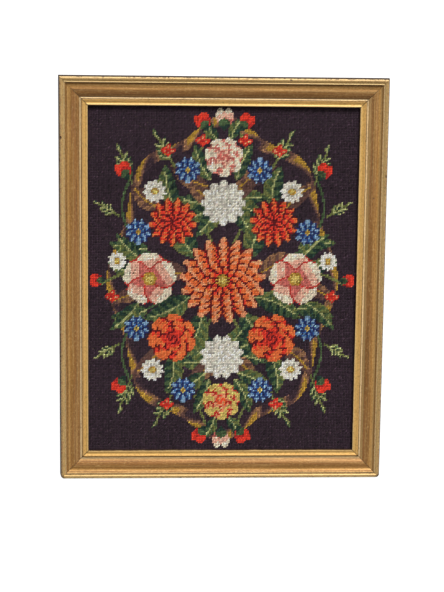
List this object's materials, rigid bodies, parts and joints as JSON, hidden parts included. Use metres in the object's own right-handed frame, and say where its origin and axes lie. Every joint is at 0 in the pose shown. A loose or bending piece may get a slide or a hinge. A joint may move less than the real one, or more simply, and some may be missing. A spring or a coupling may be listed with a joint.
{
  "type": "needlepoint canvas panel in a moulded wooden frame",
  "caption": "Flat rectangular panel of wool needlepoint with flowers on a dark ground, held in a mitred gilt wooden moulding with an open back.",
  "frame": {"origin": "middle of the frame's flat back, in the plane of the surface that it lies on", "axes": "+X to the picture's right, +Y to the picture's top, +Z out of the picture's face"},
  "size_m": [0.5104, 0.634, 0.022],
  "materials": {
    "gilt_wood": "aged gold and bronze paint over a wooden moulding, satin, worn at the edges, dark brown on its outer sides",
    "wool_needlepoint": "matt wool tent stitch on open cotton canvas"
  },
  "bodies": {
    "root": {"frame_rail_top": "gilt_wood", "frame_rail_bottom": "gilt_wood", "frame_rail_left": "gilt_wood", "frame_rail_right": "gilt_wood", "needlepoint_canvas": "wool_needlepoint"}
  },
  "joints": []
}
